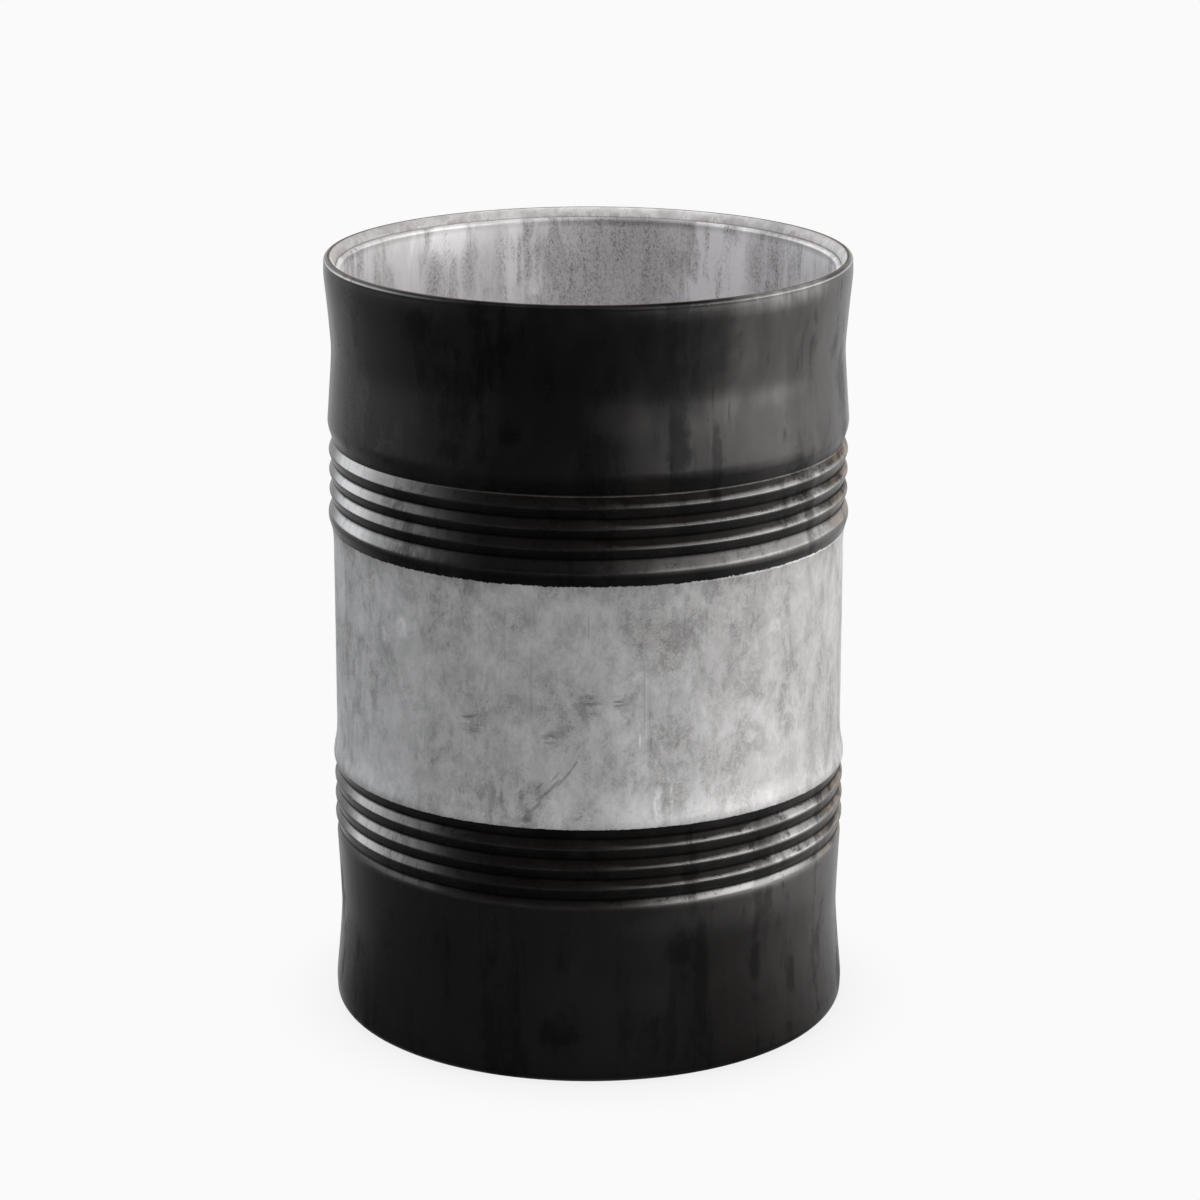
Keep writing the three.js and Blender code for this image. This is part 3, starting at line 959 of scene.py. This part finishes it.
def paint_rim(paint, coat, tex, height):
    """The bead: bare towards the inside, with a brown line at the crest where paint stops."""
    grain, fine = tex.grain, tex.fine
    across = paint.attribute("bead")
    edge = across + paint.noise(120.0, detail=3.0, rough=0.6, up=0.3).swing(0.05)
    bare = edge.smooth(0.505, 0.53)
    cloud = paint.noise(45.0, detail=5.0, rough=0.68, distort=0.3, off=(4, 0, 0))
    steel = mix(cloud.smooth(0.35, 0.65), (0.44, 0.430, 0.428), (0.62, 0.612, 0.609))
    pits = (grain * 0.5 + fine * 0.5).smooth(0.44, 0.38)
    steel = mix(pits * 0.40, steel, (0.24, 0.20, 0.175))
    # the bare steel scaled by azimuth: painted light and shade on the bead
    coat.base = mix(bare, coat.base, steel.scaled(paint.around(RIM_LIGHT_AND_SHADE_AROUND) * 1.25))
    coat.metallic = blend(bare, coat.metallic, 0.05)
    coat.rough = blend(bare, coat.rough, 0.46)
    coat.specular = blend(bare, coat.specular, 0.5)

    broken = paint.noise(38.0, detail=3.0, rough=0.7, off=(9, 0, 0))
    line = abs(edge - 0.445).smooth(0.075, 0.055) * broken.smooth(0.36, 0.52, to=(0.35, 1.0))
    blotch = paint.noise(14.0, detail=5.0, rough=0.7, off=(7, 0, 0))
    specks = across.smooth(0.72, 0.97) * (blotch * 0.5 + fine * 0.5).smooth(0.50, 0.56)
    rust = (line * 0.85 + specks * 0.42).clamped()
    coat.base = mix(rust, coat.base, mix(across, (0.020, 0.013, 0.010), (0.24, 0.17, 0.125)))
    dull_top = across.smooth(0.05, 0.17) * (1.0 - bare)
    coat.specular = coat.specular.lowered(dull_top, by=0.85)
    coat.metallic = coat.metallic * (1.0 - rust)
    coat.rough = blend(rust, coat.rough, 0.75)

    # pale paint under the rim at some azimuths: a painted highlight
    highlight_mask = height.smooth(853.0, 873.0) * paint.around(RIM_HIGHLIGHT_AROUND)
    highlight_mask = highlight_mask * across.smooth(0.42, 0.30)
    highlight_mask = highlight_mask * (tex.mottle * 0.5 + tex.streaks * 0.5).linear(0.40, 0.58, to=(0.25, 1.0))
    coat.base = mix(highlight_mask * 0.80, coat.base, (0.27, 0.26, 0.255))


def shell_paint():
    material, paint = new_material("shell_paint")
    height = paint.xyz[2] * 1000.0
    tex = shell_noises(paint)
    black = black_paint(paint, tex, height)
    silver_mask, top = silver_edges(paint, height)
    silver = silver_paint(paint, tex, height, top)
    coat = SimpleNamespace(
        base=mix(silver_mask, black.base, silver.base),
        metallic=silver_mask * 0.08,
        rough=blend(silver_mask, black.rough, silver.rough),
        specular=blend(silver_mask, black.specular, 0.5),
    )
    paint_ribs(paint, coat, tex, height, black_mask=1.0 - silver_mask)
    paint_rim(paint, coat, tex, height)
    relief = tex.fine * 0.30 + (tex.grain * 0.10 + (silver_mask * 0.5 + tex.mottle * 0.5))
    paint.shade(
        coat.base, coat.metallic.clamped(), coat.rough.clamped(),
        normal=paint.bump(relief, strength=0.20, distance=0.00025),
        specular=coat.specular.clamped(),
    )
    return material


# =====================================================================
# Bare metals
# =====================================================================


def bare_steel(steel, ups, marked):
    """Streaked, specked steel. ups are the vertical noise scales: streaks, wide, mid."""
    streaks_up, wide_up, mid_up = ups
    streaks = steel.noise(42.0, detail=5.0, rough=0.66, distort=0.7, up=streaks_up)
    wide = steel.noise(9.0, detail=5.0, rough=0.6, distort=0.9, up=wide_up, off=(1.5, 0, 0))
    mid = steel.noise(26.0, detail=5.0, rough=0.68, distort=0.8, up=mid_up, off=(0, 1.5, 0))
    fine = steel.noise(400.0, detail=4.0, rough=0.85, up=0.6)
    grain = steel.noise(900.0, detail=2.0, rough=0.8)
    dark = (wide * 0.45 + (mid * 0.30 + streaks * 0.25)).smooth(0.54, 0.40)
    if marked:
        ragged = mid.swing(1.8) + streaks.swing(0.6)
        dark = dark.maximum((steel.attribute("dark") + ragged).smooth(0.25, 0.95))
    tone = (0.72 + (streaks.swing(0.55) + mid.swing(0.60))) - dark * 0.29
    if marked:
        tone = tone + (steel.attribute("pale") + ragged * 0.7).smooth(0.2, 1.0) * 0.40
    base = mix(tone.clamped(), (0.27, 0.262, 0.268), (0.86, 0.85, 0.862))
    speck = (grain * 0.35 + fine * 0.65).smooth(0.495, 0.455)
    density = dark.linear(0.05, 0.75, to=(0.06, 0.90))
    speck = speck * (density * streaks.linear(0.38, 0.62, to=(1.15, 0.45)))
    base = mix(speck * 0.75, base, (0.110, 0.095, 0.090))
    light_speck = (grain * 0.6 + fine * 0.4).smooth(0.56, 0.62) * (dark * 0.5)
    return SimpleNamespace(
        base=mix(light_speck, base, (0.75, 0.73, 0.74)),
        rough=streaks.linear(0.3, 0.7, to=(0.52, 0.40)) + speck * 0.2,
        metallic=0.32 * (1.0 - speck * 0.8),
        relief=streaks * 0.4 + (fine * 0.4 + grain * 0.2),
        fine=fine,
    )


def shade_steel(steel, look):
    normal = steel.bump(look.relief, strength=0.25, distance=0.0003)
    steel.shade(look.base, look.metallic.clamped(), look.rough.clamped(), normal)


# darkening of the liner's top bend
LEDGE_AROUND = [
    (-180, .26), (-165, .12), (-150, .22), (-130, .32), (-110, .25), (-90, .2), (90, .2),
    (110, .38), (130, .32), (141, .08), (155, .35), (168, .42), (180, .26),
]


def liner_wall_steel():
    """The liner's wall, darker at the top bend and stained brown on the lip."""
    material, steel = new_material("liner_steel")
    look = bare_steel(steel, ups=(0.16, 0.40, 0.45), marked=True)
    z = steel.xyz[2]
    darkening = z.smooth(0.857, 0.864) * steel.around(LEDGE_AROUND)
    look.base = look.base.scaled(1.0 - darkening)
    stain = steel.radius.smooth(0.2800, 0.2816) * z.smooth(0.866, 0.868)
    blotch = steel.noise(17.0, detail=5.0, rough=0.7, off=(7, 0, 0))
    stain = stain * blotch.smooth(0.50, 0.58, to=(0.05, 0.55))
    stain_colour = mix(look.fine, (0.14, 0.095, 0.07), (0.34, 0.25, 0.19))
    look.base = mix(stain, look.base, stain_colour)
    look.metallic = look.metallic * (1.0 - stain)
    look.rough = blend(stain, look.rough, 0.75)
    shade_steel(steel, look)
    return material


def liner_floor_steel():
    """The liner's floor, dirty towards its edge."""
    material, steel = new_material("liner_floor_steel")
    look = bare_steel(steel, ups=(1, 1, 1), marked=False)
    edge = steel.radius.smooth(0.250, 0.275)
    look.base = mix(edge * 0.6, look.base, (0.06, 0.04, 0.03))
    look.rough = blend(edge, look.rough, 0.7)
    look.metallic = look.metallic.lowered(edge, by=0.5)
    shade_steel(steel, look)
    return material


def dull_metal(name, dark, light, rust, rough=(0.45, 0.65), metallic=0.9):
    """A cloudy surface between two colours, with rust patches of the given strength."""
    material, metal = new_material(name)
    big = metal.noise(14.0, detail=4.0, rough=0.6, distort=0.3)
    fine = metal.noise(140.0, detail=4.0, rough=0.7)
    base = mix(big.smooth(0.35, 0.65), dark, light)
    rusted = (big * 0.5 + fine * 0.5).smooth(0.50, 0.62) * rust
    base = mix(rusted, base, mix(fine, (0.045, 0.018, 0.009), (0.16, 0.07, 0.03)))
    metal.shade(
        base, (1.0 - rusted) * metallic,
        rough=blend(rusted, fine.linear(0.3, 0.7, to=rough), 0.85),
        normal=metal.bump(fine, strength=0.35, distance=0.0005),
    )
    return material


SHELL = shell_paint()
LINER = liner_wall_steel()
LINER_FLOOR = liner_floor_steel()
HEAD = dull_metal(
    "head_paint", (0.006, 0.0056, 0.0052), (0.020, 0.018, 0.016),
    rust=0.35, rough=(0.35, 0.55), metallic=0.0,
)
WORKS = dull_metal("inner_steelwork", (0.16, 0.155, 0.15), (0.30, 0.29, 0.28), rust=0.6)
WELD = dull_metal("weld_metal", (0.14, 0.13, 0.125), (0.28, 0.26, 0.25), rust=0.8)
COMPOUND = dull_metal(
    "seam_compound", (0.010, 0.0095, 0.009), (0.03, 0.028, 0.026),
    rust=0.0, rough=(0.75, 0.9), metallic=0.0,
)

# =====================================================================
# Pieces
# =====================================================================


def stands_for(obj, node):
    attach(obj, "root")
    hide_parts(node)


def make_shell():
    """The wall, open at the back by the seam's gap, and the weld that fills it."""
    wall = swept(
        "shell_wall", outer_path + inner_path[::-1], SHELL, 0.0, math.pi - SEAM_HALF, 288,
        shift=wave, tags=wall_tags(outer_path, inner_path[::-1]),
    )
    add_marks(wall, SHELL_MARKS, WALL_R)
    stands_for(wall, "outer_shell")

    seam_path = densify(outer_path, 1.6)
    seam = swept(
        "shell_seam", seam_path + inner_path[::-1], SHELL, math.pi, SEAM_HALF * WELD_FILL, 8,
        shift=seam_shift, tags=wall_tags(seam_path, inner_path[::-1]),
    )
    add_marks(seam, SHELL_MARKS, WALL_R)
    stands_for(seam, "shell_seam_weld")

    wire = turned("rim_bead_wire", arc(290.2, 873.0, 4.3, 0, 345, 23), WORKS, 144)
    stands_for(wire, "rim_wire")


def make_bottom():
    """A raised plate with a low flange, its sealing compound and its weld."""
    flange_r, flange_z, raised_z = 277, 2.4, 12
    under = [(0, raised_z), (251, raised_z, 4), (261.5, flange_z, 4), (flange_r, flange_z)]
    flange_top, raised_top = flange_z + SHEET, raised_z + SHEET
    over = [(flange_r, flange_top), (262.2, flange_top, 4), (251.7, raised_top, 4),
            (0, raised_top)]
    plate = turned("bottom_plate", soften(under) + soften(over), HEAD, 192)
    stands_for(plate, "bottom_head")

    band = [(268.5, 1.5), (276.5, 1.5), (276.5, 2.1), (268.5, 2.1)]
    sealant = turned("bottom_sealant", band, COMPOUND, 144)
    stands_for(sealant, "bottom_seam_compound")

    bead = soften([(277.4, 1.6), (281.2, 2.1, 0.6), (277.4, 5.2)])
    stands_for(turned("bottom_weld", bead, WELD, 288), "bottom_head_weld")


def make_liner():
    """The liner, bent outwards into a lip, open at the front, with its seam and rim welds."""
    foot_z, bend_z, bend, lip_r = 8.0, 864.8, 3.3, 282.3
    outer_r = LINER_R + SHEET
    bend_r = outer_r + bend
    outer = [(outer_r, foot_z)] + arc(bend_r, bend_z, bend, 180, 90, 8)
    outer.append((lip_r, bend_z + bend))
    inner = [(lip_r, bend_z + bend + SHEET)] + arc(bend_r, bend_z, bend + SHEET, 90, 180, 14)
    inner.append((LINER_R, foot_z))

    wall = swept(
        "liner_wall", densify(outer, 60) + densify(inner, 16), LINER,
        math.pi, math.pi - LINER_HALF, 256, shift=liner_wave,
    )
    add_marks(wall, LINER_MARKS, LINER_R)
    stands_for(wall, "inner_liner")

    seam = swept(
        "liner_seam", densify(outer, 60) + densify(inner, 1.7), WELD,
        0.0, LINER_HALF * WELD_FILL, 8, shift=liner_seam_shift,
    )
    stands_for(seam, "liner_seam_weld")

    corner = [(282.2, 867.8), (284.0, 866.4), (281.0, 866.3)]
    stands_for(turned("liner_top_weld", corner, WELD, 192), "liner_rim_weld")


def make_liner_floor():
    """A flat floor with a skirt turned down, its weld, and the ring below it."""
    skirt_r, skirt_z, top = 276.6, 12, 31.2
    inside_r, underside = skirt_r - SHEET, top - SHEET
    over = soften([(skirt_r, skirt_z), (skirt_r, top, 2.2), (0, top)], 8)
    under = soften([(0, underside), (inside_r, underside, 1.4), (inside_r, skirt_z)], 6)
    base = turned("liner_base", densify(over, 14) + densify(under, 60), LINER_FLOOR, 192)
    stands_for(base, "liner_floor")

    corner = [(skirt_r, 11.6), (273.6, 11.6), (skirt_r, 8.6)]
    stands_for(turned("liner_base_weld", corner, WELD, 192), "liner_floor_weld")

    strip = [(238, 13.5), (241, 13.5), (241, 29.7), (238, 29.7)]
    bearer = turned("bearer_ring", strip, WORKS, 144)
    stands_for(bearer, "liner_bearer_ring")


def make_hoop(name, low, high, node):
    """A channel-section hoop between shell and liner, open towards the liner."""
    web, toe, thick = 288.2, 278.5, 1.5
    middle = (low + high) / 2
    section = soften([
        (web, middle), (web, high, 2.0), (toe, high), (toe, high - thick),
        (web - thick, high - thick, 0.8), (web - thick, low + thick, 0.8),
        (toe, low + thick), (toe, low), (web, low, 2.0), (web, middle - 0.1),
    ])
    stands_for(turned(name, section, WORKS, 144), node)


make_shell()
make_bottom()
make_liner()
make_liner_floor()
make_hoop("spacer_upper", 596, 654, "upper_spacer_hoop")
make_hoop("spacer_lower", 234, 293, "lower_spacer_hoop")

# =====================================================================
# Studio
# =====================================================================
BACKDROP = 0.956  # brightness of the floor and of the world as the camera sees it


def make_floor():
    """A glowing disc that only the camera sees, with a painted contact shadow close to the
    container.
    """
    radii = [0.32, 0.5, 1.0, 3.0, 12.0]
    segs = 96
    verts = [(0.0, 0.0, 0.0)]
    for r in radii:
        for j in range(segs):
            angle = TAU * j / segs
            verts.append((r * math.cos(angle), r * math.sin(angle), 0.0))
    faces = [(0, 1 + j, 1 + (j + 1) % segs) for j in range(segs)]
    for k in range(len(radii) - 1):
        a, b = 1 + k * segs, 1 + (k + 1) * segs
        for j in range(segs):
            following = (j + 1) % segs
            faces.append((a + j, b + j, b + following, a + following))
    mesh = bpy.data.meshes.new("studio_floor")
    mesh.from_pydata(verts, [], faces)
    mesh.update()
    floor = bpy.data.objects.new("studio_floor", mesh)
    floor.location.z = -0.0002
    bpy.context.scene.collection.objects.link(floor)

    material, glow = new_material("studio_floor")
    # painted contact shadow: the glow dims where the container closes off the view
    openness = glow.value(
        "ShaderNodeAmbientOcclusion", {"Distance": 0.10}, output="AO", samples=8
    )
    strength = openness.linear(0.35, 0.95, to=(0.90, 1.0))
    inputs = {"Color": (BACKDROP,) * 3, "Strength": strength}
    glow.surface(glow.value("ShaderNodeEmission", inputs))
    mesh.materials.append(material)
    for ray in ("glossy", "diffuse", "shadow", "transmission"):
        setattr(floor, f"visible_{ray}", False)


# Brightness by azimuth in degrees: reflected below the horizon, reflected above it, and at
# the sides for matt surfaces.
LIGHT_LOW = [
    (-180, .70), (-160, .62), (-148, .46), (-134, .36), (-113, .19), (-90, .11), (-60, .072),
    (-20, .09), (12, .09), (27, .19), (58, .78), (75, 1.4), (95, 1.8), (113, 1.35),
    (135, .95), (150, .7), (180, .70),
]
LIGHT_MID = [
    (-180, 1.1), (-162, 1.4), (-144, 3.2), (-123, 5.8), (-103, 4.0), (-84, 2.1), (-72, .7),
    (-62, .14), (-40, .05), (0, .04), (14, .3), (27, 1.0), (51, 3.2), (72, 4.8), (88, 4.8),
    (109, 4.2), (125, 2.4), (136, 1.4), (150, 1.1), (180, 1.1),
]
LIGHT_SIDE = [
    (-180, .85), (-140, .80), (-110, .62), (-80, .44), (-55, .34), (-25, .285), (0, .36),
    (25, .63), (50, .95), (80, 1.05), (120, 1.0), (150, .9), (180, .85),
]
PEAK = 10.0  # brightness that a curve's 1 stands for


def light_curve(azimuth, points):
    return azimuth.curve(180.0, [(degrees, level / PEAK) for degrees, level in points]) * PEAK


def make_world():
    """Different light for reflections, for matt surfaces and for the camera."""
    world = bpy.data.worlds.new("studio")
    bpy.context.scene.world = world
    sky = open_graph(world)
    x, y, z = sky.split(sky.value("ShaderNodeTexCoord", output="Generated"))
    azimuth = x.arctan2(y * -1.0) * (180.0 / math.pi)
    elevation = sky.math("ARCSINE", z) * (180.0 / math.pi)
    low, mid, side = (light_curve(azimuth, p) for p in (LIGHT_LOW, LIGHT_MID, LIGHT_SIDE))

    # reflections: four zones by elevation, uneven between the +X side and the rest
    right = azimuth.smooth(0.0, 30.0) * azimuth.smooth(179.0, 140.0)
    low = low * elevation.linear(-38.0, -16.0, to=(blend(right, 0.40, 0.16), 1.0))
    mid = mid * elevation.smooth(7.0, 15.0, to=(blend(right, 1.0, 2.1), 1.0))
    glossy = blend((elevation - blend(right, 1.3, 0.0)).smooth(-5.0, -0.8), low, mid)
    glossy = blend(elevation.smooth(28.0, 44.0), glossy, blend(0.35, side, 0.9))
    glossy = blend(elevation.smooth(60.0, 78.0), glossy, 1.0)

    # matt surfaces: a soft gradient all round, brighter overhead
    matt = side * elevation.linear(-60.0, 0.0, to=(0.7, 1.0))
    matt = blend(elevation.smooth(22.0, 55.0), matt, 1.75)

    warm_side = azimuth.smooth(-40.0, 40.0) * azimuth.smooth(180.0, 120.0)
    tint = mix(warm_side, (0.99, 0.997, 1.014), (1.025, 1.0, 0.985))
    rays = sky.node("ShaderNodeLightPath").outputs
    camera_ray, diffuse_ray = (Value(sky, rays[f"Is {k} Ray"]) for k in ("Camera", "Diffuse"))
    inputs = {
        "Color": mix(camera_ray, tint, (1.0, 1.0, 1.0)),
        "Strength": blend(camera_ray, blend(diffuse_ray, glossy, matt), BACKDROP),
    }
    sky.surface(sky.value("ShaderNodeBackground", inputs), kind="ShaderNodeOutputWorld")
    world.cycles.sampling_method = "NONE"


def make_camera():
    data = bpy.data.cameras.new("camera")
    data.lens = 118.733
    data.sensor_width = 36.0
    data.clip_start = 0.1
    data.clip_end = 100.0
    camera = bpy.data.objects.new("camera", data)
    camera.location = (0.0131, -4.3672, 1.7174)
    camera.rotation_euler = (math.radians(74.132), 0.0, 0.0)
    bpy.context.scene.collection.objects.link(camera)
    bpy.context.scene.camera = camera


def set_render():
    view = bpy.context.scene.view_settings
    view.view_transform = "Standard"
    view.look = "None"
    view.exposure = 0.0
    view.gamma = 1.0
    cycles = bpy.context.scene.cycles
    cycles.use_denoising = True
    cycles.max_bounces = 12
    cycles.diffuse_bounces = 6
    cycles.glossy_bounces = 8
    cycles.sample_clamp_indirect = 8.0


make_floor()
make_world()
make_camera()
set_render()
